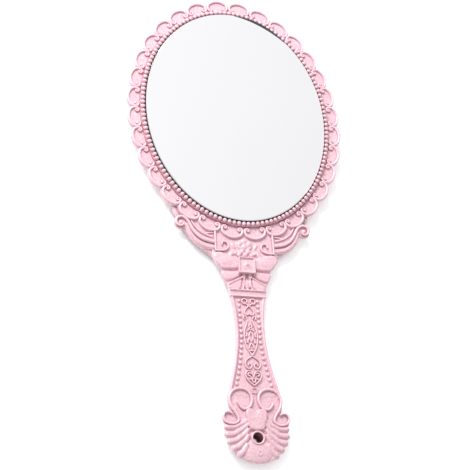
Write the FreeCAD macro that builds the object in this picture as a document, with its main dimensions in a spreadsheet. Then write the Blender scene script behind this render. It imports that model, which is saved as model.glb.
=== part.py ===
import FreeCAD, Part
import Sketcher
import math
import os

# Hand mirror, lying on its back: the glass faces +Z, the handle runs towards -Y, and the
# origin is the centre of the flat oval medallion on the back, on the surface it lies on.
# Two moulded shells meet at a flat joint. The front one carries the glass, the back one is
# a shallow dish, and a ring of beads stands in the channel round the glass.

SIZES = {
    # heights above the surface that the mirror lies on
    "reliefHeight": 0.8,        # from that surface up to the dish's outer face
    "floorThick": 1.5,
    "jointZ": 4.2,              # where the two shells meet
    "seatThick": 1.3,           # floor under the glass
    "tapeThick": 0.8,
    "coatThick": 0.1,           # each of the two coats on the back of the glass
    "glassThick": 2.0,
    "borderZ": 6.2,
    "ridgeSize": 0.9,           # half the width of a moulded scroll
    "ridgeSink": 0.15,          # how far a ridge's or bead's centre lies below its face
    "beadBandZ": 7.4,
    "neckZ": 7.2,
    "bandZ": 7.6,
    "jewelZ": 8.9,
    "gripZ": 5.9,
    "gripEdgeZ": 6.6,
    "shellZ": 5.9,
    "heartZ": 7.2,
    "collarZ": 6.6,
    # glass and its surround
    "glassHalfX": 47.3,
    "glassHalfY": 59.3,
    "glassArris": 0.4,
    "beadHalfX": 48.7,
    "beadHalfY": 60.7,
    "beadSize": 1.2,
    "beadBandWidth": 2.3,
    "beadCount": 140,
    "channelWidth": 3.0,
    "lobeHalfX": 49.2,          # oval through the centres of the border's lobes
    "lobeHalfY": 61.2,
    "lobeSize": 7.8,
    "lobeRidge": 6.6,
    "lobeSweep": 80.0,
    "lobeCount": 32,
    "borderHalfX": 52.0,
    "borderHalfY": 64.5,
    "knobSize": 1.1,
    # wings beside the neck
    "wingX": 17.0,
    "wingY": -62.5,
    "wingSize": 12.2,
    "curlX": 31.8,
    "curlY": -61.4,
    "curlSize": 3.8,
    # neck
    "leafX": 9.4,
    "leafY": -79.6,
    "leafSize": 7.4,
    "tuckX": 7.0,
    "tuckY": -88.8,
    "tuckSize": 4.9,
    "spineHalf": 9.2,
    "jewelY": -83.0,
    "jewelWidth": 8.6,
    "bandY": -97.0,
    "bandHalf": 9.2,
    "bandTall": 3.6,
    # grip
    "waistHalf": 7.4,
    "waistY": -114.5,
    "flareHalf": 12.6,
    "flareY": -146.0,
    "upperBend": 90.0,
    "lowerBend": 105.0,
    "gripWall": 1.4,
    "pearlSize": 0.85,
    "pearlPitch": 2.65,
    "pearlTopY": -101.0,
    "pearlCount": 17,
    "pearlInset": 3.2,
    # foot of the handle
    "eyeX": 6.8,
    "eyeY": -151.0,
    "eyeSize": 7.2,
    "eyeRidge": 4.6,
    "earX": 12.9,
    "earY": -160.2,
    "earSize": 3.9,
    "earRidge": 2.4,
    "shellY": -165.3,
    "shellSize": 15.6,
    "fluteSpread": 14.4,
    "fluteSize": 2.4,
    "fluteCount": 11,
    "heartX": 2.3,
    "heartY": -158.6,
    "heartSize": 2.7,
    "holeY": -169.6,
    "holeSize": 2.5,
    "collarSize": 3.6,
    # back shell
    "backHalfX": 53.4,
    "backHalfY": 65.9,
    "backInset": 1.2,
    "backWall": 1.8,
    "backTuck": 5.0,            # how much narrower the dish is at its floor
    "medalHalfX": 24.0,
    "medalHalfY": 31.0,
    "hoopHalfX": 44.0,
    "hoopHalfY": 55.5,
    "hoopWidth": 1.6,
    "heelY": -158.0,
    "heelSize": 6.0,
    "postSize": 3.0,
    "pinSize": 1.5,
    "pinLength": 1.5,
    "pinPlay": 0.05,
    "pinX": 27.0,
    "pinY": 42.0,
    "keelWidth": 1.4,
    # adhesive tape pads
    "padWide": 26.0,
    "padLong": 12.0,
    "padX": 19.0,
    "padStep": 30.0,
}

doc = FreeCAD.newDocument("HandMirror")
sheet = doc.addObject("Spreadsheet::Sheet", "Sizes")
for row, (alias, value) in enumerate(SIZES.items(), start=1):
    sheet.set(f"A{row}", alias)
    sheet.set(f"B{row}", str(value))
    sheet.setAlias(f"B{row}", alias)
doc.recompute()


def size(alias):
    """A driving dimension, read back from the sheet."""
    return float(getattr(sheet, alias))


def on_sheet(formula):
    """Points the names in a formula at the sheet; its words stand apart from each other."""
    return " ".join(f"Sizes.{word}" if word in SIZES else word for word in str(formula).split())


def bind(obj, **formulas):
    """Ties properties to formulas of sheet names, such as Radius="beadSize + 0.2"."""
    for prop, formula in formulas.items():
        obj.setExpression(prop, on_sheet(formula))
    return obj


def place(obj, x=0.0, y=0.0, z=0.0, turn=0.0):
    """Puts an object at a point given as numbers or formulas, turned about Z by degrees."""
    turned = FreeCAD.Rotation(FreeCAD.Vector(0, 0, 1), turn)
    obj.Placement = FreeCAD.Placement(FreeCAD.Vector(), turned)
    for axis, spot in zip("xyz", (x, y, z)):
        formula = spot if isinstance(spot, str) else f"{spot:.6f}"
        bind(obj, **{f"Placement.Base.{axis}": formula})
    return obj


def cylinder(name, x, y, radius, bottom, top):
    """A round plate between two heights."""
    obj = bind(doc.addObject("Part::Cylinder", name), Radius=radius, Height=f"{top} - ( {bottom} )")
    return place(obj, x, y, bottom)


def ball(name, x, y, height, radius):
    """A round bead or knob, sunk a little over half way into the face at that height."""
    obj = bind(doc.addObject("Part::Sphere", name), Radius=radius)
    return place(obj, x, y, f"{height} - ridgeSink")


def box(name, x, y, wide, tall, bottom, top):
    """A block centred on a point in plan."""
    obj = bind(doc.addObject("Part::Box", name), Length=wide, Width=tall)
    bind(obj, Height=f"{top} - ( {bottom} )")
    return place(obj, f"{x} - ( {wide} ) / 2", f"{y} - ( {tall} ) / 2", bottom)


def extrude(name, outline, height):
    """A plate that rises from an outline."""
    plate = doc.addObject("Part::Extrusion", name)
    plate.Base = outline
    plate.DirMode = "Custom"
    plate.Dir = FreeCAD.Vector(0, 0, 1)
    plate.Solid = True
    return bind(plate, LengthFwd=height)


def oval_line(name, half_x, half_y, height):
    """An ellipse at a height, longer along Y."""
    line = doc.addObject("Part::Ellipse", name)
    bind(line, MajorRadius=half_y, MinorRadius=half_x)
    return place(line, z=height, turn=90)


def oval(name, half_x, half_y, bottom, top):
    """An elliptical plate between two heights."""
    return extrude(name, oval_line(name + "_line", half_x, half_y, bottom), f"{top} - ( {bottom} )")


def flared_oval(name, low, high, bottom, top):
    """An elliptical plate whose half sizes change from its bottom to its top."""
    flared = doc.addObject("Part::Loft", name)
    lines = [oval_line(name + "_low", *low, bottom), oval_line(name + "_high", *high, top)]
    flared.Sections = lines
    flared.Solid = True
    flared.Ruled = True
    return flared


def oval_ring(name, half_x, half_y, width, bottom, top):
    """A flat oval band; the half sizes are those of its centre line."""
    outside = oval(name + "_outside", f"{half_x} + {width} / 2", f"{half_y} + {width} / 2", bottom, top)
    inside = oval(name + "_inside", f"{half_x} - {width} / 2", f"{half_y} - {width} / 2", bottom, top)
    return cut(name, outside, inside)


def scroll(name, x, y, height, radius, middle, sweep):
    """A moulded ridge: part of a ring, centred on one direction and this many degrees long."""
    obj = bind(doc.addObject("Part::Torus", name), Radius1=radius, Radius2="ridgeSize", Angle3=sweep)
    return place(obj, x, y, f"{height} - ridgeSink", middle - sweep / 2)


def fuse(name, shapes):
    obj = doc.addObject("Part::MultiFuse", name)
    obj.Shapes = shapes
    obj.Refine = False
    return obj


def raise_on(name, base, reliefs):
    """A piece with small reliefs on it, added a few at a time, which the kernel takes better."""
    batch = 12
    for start in range(0, len(reliefs), batch):
        last = start + batch >= len(reliefs)
        step_name = name if last else f"{name}_step_{start // batch + 1}"
        base = fuse(step_name, [base] + reliefs[start:start + batch])
    return base


def cut(name, base, tool):
    obj = doc.addObject("Part::Cut", name)
    obj.Base = base
    obj.Tool = tool
    obj.Refine = False
    return obj


def mirrored(maker, name, x, y, *sizes):
    """The same piece on the right and on the left of the middle line; x is a formula."""
    return [maker(name + "_right", x, y, *sizes), maker(name + "_left", f"-1 * ( {x} )", y, *sizes)]


def along_oval(half_x, half_y, count, phase=0.0):
    """Evenly spaced stations along an oval from its foot: x, y and the outward angle."""
    steps = 7200
    turns = [2 * math.pi * k / steps for k in range(steps + 1)]
    spots = [(half_x * math.sin(turn), -half_y * math.cos(turn)) for turn in turns]
    run = [0.0]
    for here, there in zip(spots, spots[1:]):
        run.append(run[-1] + math.dist(here, there))
    stations = []
    k = 0
    for station in range(count):
        wanted = (station + phase) / count * run[-1]
        while run[k + 1] < wanted:
            k += 1
        x, y = spots[k]
        outward = math.degrees(math.atan2(y / half_y ** 2, x / half_x ** 2))
        stations.append((x, y, outward))
    return stations


def side_arc(start, end, radius):
    """An arc between two points of a side of the grip, bowed in towards the middle line."""
    middle = (start + end) * 0.5
    sag = radius - math.sqrt(radius ** 2 - ((end - start).Length / 2) ** 2)
    inward = FreeCAD.Vector(-1 if middle.x > 0 else 1, 0, 0)
    return Part.Arc(start, middle + inward * sag, end)


def grip(name, inset, bottom, top):
    """The waisted grip as a padded sketch: two arcs on each side that meet at the waist."""
    body = doc.addObject("PartDesign::Body", name)
    plane = next(f for f in body.Origin.OriginFeatures if f.Role == "XY_Plane")
    sketch = body.newObject("Sketcher::SketchObject", name + "_outline")
    sketch.AttachmentSupport = [(plane, "")]
    sketch.MapMode = "FlatFace"
    corners = [("bandHalf", "bandY"), ("waistHalf", "waistY"), ("flareHalf", "flareY")]
    right = [FreeCAD.Vector(size(across), size(along), 0) for across, along in corners]
    loop = right + [FreeCAD.Vector(-p.x, p.y, 0) for p in reversed(right)]
    bends = ["upperBend", "lowerBend", None, "lowerBend", "upperBend", None]
    firsts = []
    for geo, bend in enumerate(bends):
        start, end = loop[geo], loop[(geo + 1) % 6]
        edge = side_arc(start, end, size(bend)) if bend else Part.LineSegment(start, end)
        sketch.addGeometry(edge)
        firsts.append(1 if (sketch.Geometry[geo].StartPoint - start).Length < 1e-6 else 2)
    for geo, corner in enumerate(loop):
        before = (geo - 1) % 6
        joined = (before, 3 - firsts[before], geo, firsts[geo])
        sketch.addConstraint(Sketcher.Constraint("Coincident", *joined))
        across, along = corners[min(geo, 5 - geo)]
        sign = "" if corner.x > 0 else "-"
        far = sketch.addConstraint(
            Sketcher.Constraint("DistanceX", -1, 1, geo, firsts[geo], corner.x))
        sketch.setExpression(f"Constraints[{far}]", on_sheet(f"{sign}1 * ( {across} - {inset} )"))
        down = sketch.addConstraint(
            Sketcher.Constraint("DistanceY", -1, 1, geo, firsts[geo], corner.y))
        sketch.setExpression(f"Constraints[{down}]", on_sheet(along))
        if bends[geo]:
            turn = sketch.addConstraint(Sketcher.Constraint("Radius", geo, size(bends[geo])))
            sketch.setExpression(f"Constraints[{turn}]", on_sheet(bends[geo]))
    pad = body.newObject("PartDesign::Pad", name + "_pad")
    pad.Profile = sketch
    bind(pad, Length=f"{top} - ( {bottom} )")
    return place(body, z=bottom)


def quarter_posts(name, radius, bottom, top):
    """Four round posts under the seat of the glass, one in each quarter of the head."""
    posts = []
    for quarter, (east, north) in enumerate(((1, 1), (1, -1), (-1, 1), (-1, -1)), start=1):
        spot = (f"{east} * pinX", f"{north} * pinY")
        posts.append(cylinder(f"{name}_{quarter}", *spot, radius, bottom, top))
    return posts


def lobe_outline(name, lobes):
    """The scalloped outline: one arc over each lobe, from notch to notch, at the joint's height."""
    radius = size("lobeSize")
    centres = [FreeCAD.Vector(x, y, 0) for x, y, outward in lobes]
    notches = []
    for here, there in zip(centres[-1:] + centres, centres):
        step = there - here
        outward = FreeCAD.Vector(step.y, -step.x, 0).normalize()
        depth = math.sqrt(radius ** 2 - (step.Length / 2) ** 2)
        notches.append((here + there) * 0.5 + outward * depth)
    arcs = []
    for (x, y, outward), start, end in zip(lobes, notches, notches[1:] + notches[:1]):
        turn = math.radians(outward)
        peak = FreeCAD.Vector(x + radius * math.cos(turn), y + radius * math.sin(turn), 0)
        arcs.append(Part.Arc(start, peak, end).toShape())
    obj = doc.addObject("Part::Feature", name)
    obj.Shape = Part.Wire(arcs)
    return place(obj, z="jointZ")


def lobed_border():
    """The oval border: a scalloped plate, a ridge on each lobe and knobs between the lobes."""
    count = int(size("lobeCount"))
    lobes = along_oval(size("lobeHalfX"), size("lobeHalfY"), count, phase=0.5)
    plate = extrude("border_plate", lobe_outline("border_outline", lobes), "borderZ - jointZ")
    relief = []
    for number, (x, y, outward) in enumerate(lobes, start=1):
        ridge = (x, y, "borderZ", "lobeRidge", outward, size("lobeSweep"))
        relief.append(scroll(f"lobe_ridge_{number}", *ridge))
    valleys = along_oval(size("borderHalfX"), size("borderHalfY"), count)
    for number, (x, y, outward) in enumerate(valleys, start=1):
        relief.append(ball(f"knob_{number}", x, y, "borderZ", "knobSize"))
    return raise_on("lobed_border", plate, relief)


def neck():
    """Wings, leaves, the framed jewel and the band between the head and the grip."""
    shapes = mirrored(cylinder, "wing", "wingX", "wingY", "wingSize", "jointZ", "borderZ")
    shapes += mirrored(cylinder, "curl", "curlX", "curlY", "curlSize", "jointZ", "borderZ")
    shapes += mirrored(ball, "curl_knob", "curlX", "curlY", "borderZ", "knobSize")
    shapes += mirrored(cylinder, "leaf", "leafX", "leafY", "leafSize", "jointZ", "neckZ")
    shapes += mirrored(cylinder, "tuck", "tuckX", "tuckY", "tuckSize", "jointZ", "neckZ")
    spine = ("0", "( bandY - borderHalfY ) / 2", "2 * spineHalf", "-1 * bandY - borderHalfY")
    shapes.append(box("spine", *spine, "jointZ", "borderZ"))
    shapes.append(box("jewel", "0", "jewelY", "jewelWidth", "jewelWidth", "borderZ", "jewelZ"))
    shapes.append(box("band", "0", "bandY", "2 * bandHalf", "bandTall", "jointZ", "bandZ"))
    return fuse("neck", shapes)


def grip_half_width(y):
    """How far the side of the grip is from the middle line, from its two arcs."""
    waist = FreeCAD.Vector(size("waistHalf"), size("waistY"), 0)
    if y > waist.y:
        end, radius = FreeCAD.Vector(size("bandHalf"), size("bandY"), 0), size("upperBend")
    else:
        end, radius = FreeCAD.Vector(size("flareHalf"), size("flareY"), 0), size("lowerBend")
    centre = side_arc(waist, end, radius).toShape().Curve.Center
    return centre.x - math.sqrt(radius ** 2 - (y - centre.y) ** 2)


def grip_front():
    """The front of the grip, with its raised edge and two rows of pearls."""
    floor = grip("grip_floor", 0, "jointZ", "gripZ")
    edge_outside = grip("grip_edge_outside", 0, "gripZ", "gripEdgeZ")
    edge_inside = grip("grip_edge_inside", "gripWall", "gripZ", "gripEdgeZ")
    edge = cut("grip_edge", edge_outside, edge_inside)
    pearls = []
    for number in range(int(size("pearlCount"))):
        y = size("pearlTopY") - number * size("pearlPitch")
        across = f"{grip_half_width(y) - size('pearlInset'):.6f}"
        pearls += mirrored(ball, f"pearl_{number + 1}", across, y, "gripZ", "pearlSize")
    return raise_on("grip_front", fuse("grip_plates", [floor, edge]), pearls)


def foot_root(name, bottom, top):
    """The block that fills the middle between the grip, the two scroll discs and the shell."""
    middle = ("0", "( flareY + shellY ) / 2", "2 * eyeX", "flareY - shellY")
    return box(name, *middle, bottom, top)


def handle_foot():
    """The scrolls and the fluted shell at the foot of the handle, round the hanging hole."""
    plates = [cylinder("shell", "0", "shellY", "shellSize", "jointZ", "shellZ")]
    plates.append(foot_root("foot_root", "jointZ", "shellZ"))
    relief = [cylinder("collar", "0", "holeY", "collarSize", "shellZ", "collarZ")]
    relief += mirrored(cylinder, "heart", "heartX", "heartY", "heartSize", "shellZ", "heartZ")
    for name in ("eye", "ear"):
        spot = (f"{name}X", f"{name}Y")
        plates += mirrored(cylinder, name, *spot, f"{name}Size", "jointZ", "shellZ")
        relief += mirrored(scroll, f"{name}_ridge", *spot, "shellZ", f"{name}Ridge", 0.0, 360.0)
    count = int(size("fluteCount"))
    for number in range(count):
        turn = math.pi * (1 + number / (count - 1))
        x = size("fluteSpread") * math.cos(turn)
        y = size("shellY") + size("fluteSpread") * math.sin(turn)
        plates.append(cylinder(f"flute_{number + 1}", x, y, "fluteSize", "jointZ", "shellZ"))
        relief.append(ball(f"flute_end_{number + 1}", x, y, "shellZ", "knobSize"))
    return raise_on("handle_foot", fuse("foot_plates", plates), relief)


def front_shell():
    """The front moulding, with the seat for the glass, four pins below and the hanging hole."""
    pins = quarter_posts("pin", "pinSize", "jointZ - pinLength", "jointZ + seatThick / 2")
    moulding = [lobed_border(), neck(), grip_front(), handle_foot()]
    solids = fuse("front_solids", moulding + pins)
    channel = ("glassHalfX + channelWidth", "glassHalfY + channelWidth")
    seat = oval("glass_seat", *channel, "jointZ + seatThick", "jewelZ")
    hole = cylinder("front_hole", "0", "holeY", "holeSize", "jointZ - 1", "collarZ + 1")
    return cut("front_shell", solids, fuse("front_openings", [seat, hole]))


def back_plan(name, inset, bottom, top):
    """The handle's part of the back shell, drawn in from the front's outline by a formula."""
    shapes = []
    for part in ("wing", "leaf", "eye", "ear"):
        spot = (f"{part}X", f"{part}Y", f"{part}Size - {inset}")
        shapes += mirrored(cylinder, f"{name}_{part}", *spot, bottom, top)
    shapes.append(cylinder(f"{name}_shell", "0", "shellY", f"shellSize - {inset}", bottom, top))
    root = "( 2 * backTuck - borderHalfY )"
    spine = ("0", f"( bandY + {root} ) / 2", "2 * spineHalf", f"{root} - bandY")
    shapes.append(box(f"{name}_spine", *spine, bottom, top))
    shapes.append(foot_root(f"{name}_root", bottom, top))
    shapes.append(grip(f"{name}_grip", inset, bottom, top))
    return shapes


def back_shell():
    """A dish with a flat medallion to lie on, a raised hoop, posts for the pins and two keels."""
    low = ("backHalfX - backTuck", "backHalfY - backTuck")
    high = ("backHalfX", "backHalfY")
    solids = [flared_oval("dish", low, high, "reliefHeight", "jointZ")]
    solids += back_plan("rear", "backInset", "reliefHeight", "jointZ")
    solids.append(oval("medallion", "medalHalfX", "medalHalfY", "0", "reliefHeight"))
    hoop = ("hoopHalfX", "hoopHalfY", "hoopWidth")
    solids.append(oval_ring("hoop", *hoop, "reliefHeight / 2", "reliefHeight"))
    solids.append(cylinder("heel", "0", "heelY", "heelSize", "0", "reliefHeight"))
    floor = "reliefHeight + floorThick"
    deep = ("backHalfX - backTuck - backWall", "backHalfY - backTuck - backWall")
    mouth = ("backHalfX - backWall", "backHalfY - backWall")
    cavities = [flared_oval("dish_inside", deep, mouth, floor, "jointZ")]
    cavities.append(grip("grip_inside", "( backInset + backWall )", floor, "jointZ"))
    hollow = cut("back_hollow", fuse("back_solid", solids), fuse("back_cavities", cavities))
    keels = [box("keel_across", "0", "0", "2 * ( backHalfX - 4 )", "keelWidth", floor, "jointZ")]
    keels.append(box("keel_along", "0", "0", "keelWidth", "2 * ( backHalfY - 4 )", floor, "jointZ"))
    posts = quarter_posts("post", "postSize", floor, "jointZ")
    braced = fuse("back_braced", [hollow] + keels + posts)
    sockets = quarter_posts("socket", "pinSize + pinPlay", "jointZ - pinLength - 0.3", "jointZ + 1")
    hole = cylinder("back_hole", "0", "holeY", "holeSize", "-1", "jointZ + 1")
    return cut("back_shell", braced, fuse("back_openings", sockets + [hole]))


def bead_ring():
    """A flat oval band that stands in the channel, with a bead at every station on its top."""
    line = ("beadHalfX", "beadHalfY", "beadBandWidth")
    band = oval_ring("bead_band", *line, "jointZ + seatThick", "beadBandZ")
    stations = along_oval(size("beadHalfX"), size("beadHalfY"), int(size("beadCount")))
    beads = [ball(f"bead_{number}", x, y, "beadBandZ", "beadSize")
             for number, (x, y, outward) in enumerate(stations, start=1)]
    return raise_on("bead_ring", band, beads)


def glass_plate(name, bottom, thick):
    return oval(name, "glassHalfX", "glassHalfY", bottom, f"{bottom} + {thick}")


def mirror_glass(bottom):
    """The glass, with the sharp front edge ground off at a slant."""
    shoulder = f"{bottom} + glassThick - glassArris"
    blank = glass_plate("glass_blank", bottom, "( glassThick - glassArris )")
    low = ("glassHalfX", "glassHalfY")
    high = ("glassHalfX - glassArris", "glassHalfY - glassArris")
    arris = flared_oval("glass_arris", low, high, shoulder, f"{bottom} + glassThick")
    return fuse("mirror_glass", [blank, arris])


def adhesive_pads(bottom):
    """Six pads of double-sided tape between the seat and the back of the glass."""
    pads = []
    for row in (-1, 0, 1):
        spot = ("padX", f"{row} * padStep", "padWide", "padLong")
        pads += mirrored(box, f"pad_{row + 2}", *spot, bottom, f"{bottom} + tapeThick")
    group = doc.addObject("Part::Compound", "adhesive_pads")
    group.Links = pads
    return group


def build():
    """Makes every piece, from the back of the mirror to its front, and returns them."""
    seat = "jointZ + seatThick"
    paint = f"{seat} + tapeThick"
    silver = f"{paint} + coatThick"
    return [
        back_shell(),
        front_shell(),
        adhesive_pads(seat),
        glass_plate("backing_paint", paint, "coatThick"),
        glass_plate("silver_coat", silver, "coatThick"),
        mirror_glass(f"{silver} + coatThick"),
        bead_ring(),
    ]


pieces = build()
doc.recompute()

for obj in doc.Objects:
    if "Invalid" in obj.State or "Error" in obj.State:
        raise RuntimeError(f"{obj.Name} failed: {obj.State}")

os.makedirs("parts", exist_ok=True)
for piece in pieces:
    piece.Label = piece.Name
    shape = piece.Shape
    if shape.isNull() or not shape.isValid():
        raise RuntimeError(f"{piece.Label} has no valid shape")
    shape.exportStep(f"parts/{piece.Label}.step")
    box_size = shape.BoundBox
    print(f"{piece.Label}: {len(shape.Solids)} solid(s), {shape.Volume:.0f} mm3, "
          f"{box_size.XLength:.1f} x {box_size.YLength:.1f} x {box_size.ZLength:.1f} mm")
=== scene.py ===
import math
import bpy
import bmesh
from mathutils import Matrix, Vector


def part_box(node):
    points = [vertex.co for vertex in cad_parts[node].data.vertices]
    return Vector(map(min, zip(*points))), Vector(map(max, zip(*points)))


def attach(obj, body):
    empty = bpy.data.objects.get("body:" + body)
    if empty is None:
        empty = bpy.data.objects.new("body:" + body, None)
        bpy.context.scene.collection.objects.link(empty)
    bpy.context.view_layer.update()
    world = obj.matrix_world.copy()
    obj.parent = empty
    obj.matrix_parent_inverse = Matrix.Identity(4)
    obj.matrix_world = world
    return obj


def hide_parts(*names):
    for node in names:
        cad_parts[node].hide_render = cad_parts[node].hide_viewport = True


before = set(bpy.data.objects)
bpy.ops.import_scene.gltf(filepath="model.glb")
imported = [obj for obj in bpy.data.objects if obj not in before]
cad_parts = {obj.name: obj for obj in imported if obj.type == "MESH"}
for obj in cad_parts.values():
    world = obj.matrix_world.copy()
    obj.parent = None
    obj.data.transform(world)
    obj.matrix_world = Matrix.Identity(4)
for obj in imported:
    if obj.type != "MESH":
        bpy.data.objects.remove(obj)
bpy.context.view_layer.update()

# Hand mirror in pink moulded plastic. Everything is drawn in millimetres in the CAD frame:
# x to the right, y up the mirror, z out of the glass; toMetres brings a finished mesh over.
toMetres = 0.001


def boxOf(node):
    low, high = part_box(node)
    return Vector(low) / toMetres, Vector(high) / toMetres


glassLow, glassHigh = boxOf("mirror_glass")
beadLow, beadHigh = boxOf("bead_ring")
padHigh = boxOf("adhesive_pads")[1]
jointZ = boxOf("back_shell")[1].z       # where the two shells meet
glassHalf = Vector((glassHigh.x, glassHigh.y))


def polar(centre, radius, degrees):
    turn = math.radians(degrees)
    return (centre[0] + radius * math.cos(turn), centre[1] + radius * math.sin(turn))


def spiral(centre, radii, angles, steps):
    # points round a centre while the radius changes evenly
    points = []
    for step in range(steps + 1):
        part = step / steps
        radius = radii[0] + (radii[1] - radii[0]) * part
        points.append(polar(centre, radius, angles[0] + (angles[1] - angles[0]) * part))
    return points


def mirrorX(points):
    return [(-point[0],) + tuple(point[1:]) for point in points]


def bothHalves(side):
    # a symmetrical outline from its right half, which is drawn from the top to the foot
    return side + list(reversed(mirrorX(side)))


def onOval(halfX, halfY, turn):
    return (halfX * math.cos(turn), halfY * math.sin(turn))


def ovalLine(halfX, halfY, steps, closed=False):
    # points round an oval, with the first one again at the end if the line is to close
    return [onOval(halfX, halfY, 2 * math.pi * k / steps) for k in range(steps + closed)]


def alongOval(halfX, halfY, count, phase=0.0):
    # evenly spaced stations along an oval from its foot: x, y and the outward angle
    steps = 3600
    turns = [2 * math.pi * k / steps for k in range(steps + 1)]
    spots = [(halfX * math.sin(t), -halfY * math.cos(t)) for t in turns]
    run = [0.0]
    for here, there in zip(spots, spots[1:]):
        run.append(run[-1] + math.dist(here, there))
    stations = []
    k = 0
    for station in range(count):
        wanted = (station + phase) / count * run[-1]
        while run[k + 1] < wanted:
            k += 1
        x, y = spots[k]
        outward = math.degrees(math.atan2(y / halfY ** 2, x / halfX ** 2))
        stations.append((x, y, outward))
    return stations


def curveMesh(curve):
    # a curve's evaluated mesh; the curve itself isn't kept
    holder = bpy.data.objects.new(curve.name, curve)
    bpy.context.scene.collection.objects.link(holder)
    mesh = bpy.data.meshes.new_from_object(holder.evaluated_get(bpy.context.evaluated_depsgraph_get()))
    bpy.data.objects.remove(holder)
    bpy.data.curves.remove(curve)
    return mesh


def pour(bm, mesh):
    bm.from_mesh(mesh)
    bpy.data.meshes.remove(mesh)


def addRidges(bm, lines, sides=3):
    # each line is points, a width and the height of its crest; the width is one radius, the two
    # at its ends, or a list of them, and a point with a third number has its own crest
    curve = bpy.data.curves.new("ridges", "CURVE")
    curve.dimensions = "3D"
    curve.bevel_depth = 1.0
    curve.bevel_resolution = sides
    curve.resolution_u = 4
    curve.use_fill_caps = True
    for points, radius, top in lines:
        count = len(points)
        if isinstance(radius, list):
            widths = radius
        else:
            first, last = radius if isinstance(radius, tuple) else (radius, radius)
            widths = [first + (last - first) * k / (count - 1) for k in range(count)]
        spline = curve.splines.new("NURBS")
        spline.points.add(len(points) - 1)
        for k, point in enumerate(points):
            r = widths[k]
            crest = point[2] if len(point) > 2 else top
            spline.points[k].co = (point[0], point[1], crest - r, 1.0)
            spline.points[k].radius = r
        spline.order_u = 3
        spline.use_endpoint_u = True
    pour(bm, curveMesh(curve))


def addPlate(bm, outline, low, high, bevel=0.0, smooth=True, hole=None):
    # a flat plate with a rounded rim from an outline in plan, and perhaps one opening
    curve = bpy.data.curves.new("plate", "CURVE")
    curve.dimensions = "2D"
    curve.fill_mode = "BOTH"
    curve.extrude = (high - low) / 2 - bevel
    curve.bevel_depth = bevel
    curve.offset = -bevel
    curve.bevel_resolution = 3
    curve.resolution_u = 4
    for loop in [outline] + ([hole] if hole else []):
        spline = curve.splines.new("NURBS" if smooth else "POLY")
        spline.points.add(len(loop) - 1)
        for k, point in enumerate(loop):
            spline.points[k].co = (point[0], point[1], 0.0, 1.0)
        if smooth:
            spline.order_u = 3
        spline.use_cyclic_u = True
    mesh = curveMesh(curve)
    mesh.transform(Matrix.Translation((0, 0, (low + high) / 2)))
    pour(bm, mesh)


def addDisc(bm, x, y, radius, low, high, topRadius=None, segments=48):
    place = Matrix.Translation((x, y, (low + high) / 2))
    bmesh.ops.create_cone(bm, cap_ends=True, segments=segments, radius1=radius,
                          radius2=radius if topRadius is None else topRadius,
                          depth=high - low, matrix=place)


def addBlob(bm, x, y, z, size, turn=0.0, segments=20):
    # an ellipsoid: petals, pillows and knobs
    place = Matrix.Translation((x, y, z)) @ Matrix.Rotation(math.radians(turn), 4, "Z")
    place = place @ Matrix.Diagonal((*size, 1.0))
    bmesh.ops.create_uvsphere(bm, u_segments=segments, v_segments=segments // 2, radius=1.0, matrix=place)


def addOvalRing(bm, inner, outer, low, high, segments=256):
    # a flat oval band, drawn as two loops that are bridged and raised
    loops = []
    for half in (inner, outer):
        place = Matrix.Translation((0, 0, low)) @ Matrix.Diagonal((*half, 1, 1))
        made = bmesh.ops.create_circle(bm, segments=segments, radius=1.0, matrix=place)
        loops += dict.fromkeys(edge for vert in made["verts"] for edge in vert.link_edges)
    flat = bmesh.ops.bridge_loops(bm, edges=loops)["faces"]
    raised = bmesh.ops.extrude_face_region(bm, geom=flat, use_keep_orig=True)["geom"]
    up = [part for part in raised if isinstance(part, bmesh.types.BMVert)]
    bmesh.ops.translate(bm, vec=(0, 0, high - low), verts=up)


def makeObject(name, mesh):
    piece = bpy.data.objects.new(name, mesh)
    bpy.context.scene.collection.objects.link(piece)
    return piece


def withModifiers(name, mesh):
    # the mesh with its object's modifiers applied
    piece = bpy.data.objects[name]
    done = bpy.data.meshes.new_from_object(piece.evaluated_get(bpy.context.evaluated_depsgraph_get()))
    bpy.data.objects.remove(piece)
    bpy.data.meshes.remove(mesh)
    done.name = name
    return done


sharpAngle = 50     # degrees between two faces, past which their edge stays crisp


def finish(mesh, name, smooth=True):
    # from millimetres to metres, with the faces outwards
    bm = bmesh.new()
    bm.from_mesh(mesh)
    bmesh.ops.recalc_face_normals(bm, faces=bm.faces)
    bmesh.ops.transform(bm, matrix=Matrix.Scale(toMetres, 4), verts=bm.verts)
    bm.to_mesh(mesh)
    bm.free()
    for polygon in mesh.polygons:
        polygon.use_smooth = smooth
    if smooth:
        mesh.set_sharp_from_angle(angle=math.radians(sharpAngle))
    mesh.materials.clear()
    print(name, "faces", len(mesh.polygons))
    return makeObject(name, mesh)


def meshPiece(bm, name, smooth=True):
    mesh = bpy.data.meshes.new(name)
    bm.to_mesh(mesh)
    bm.free()
    return finish(mesh, name, smooth)


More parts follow.
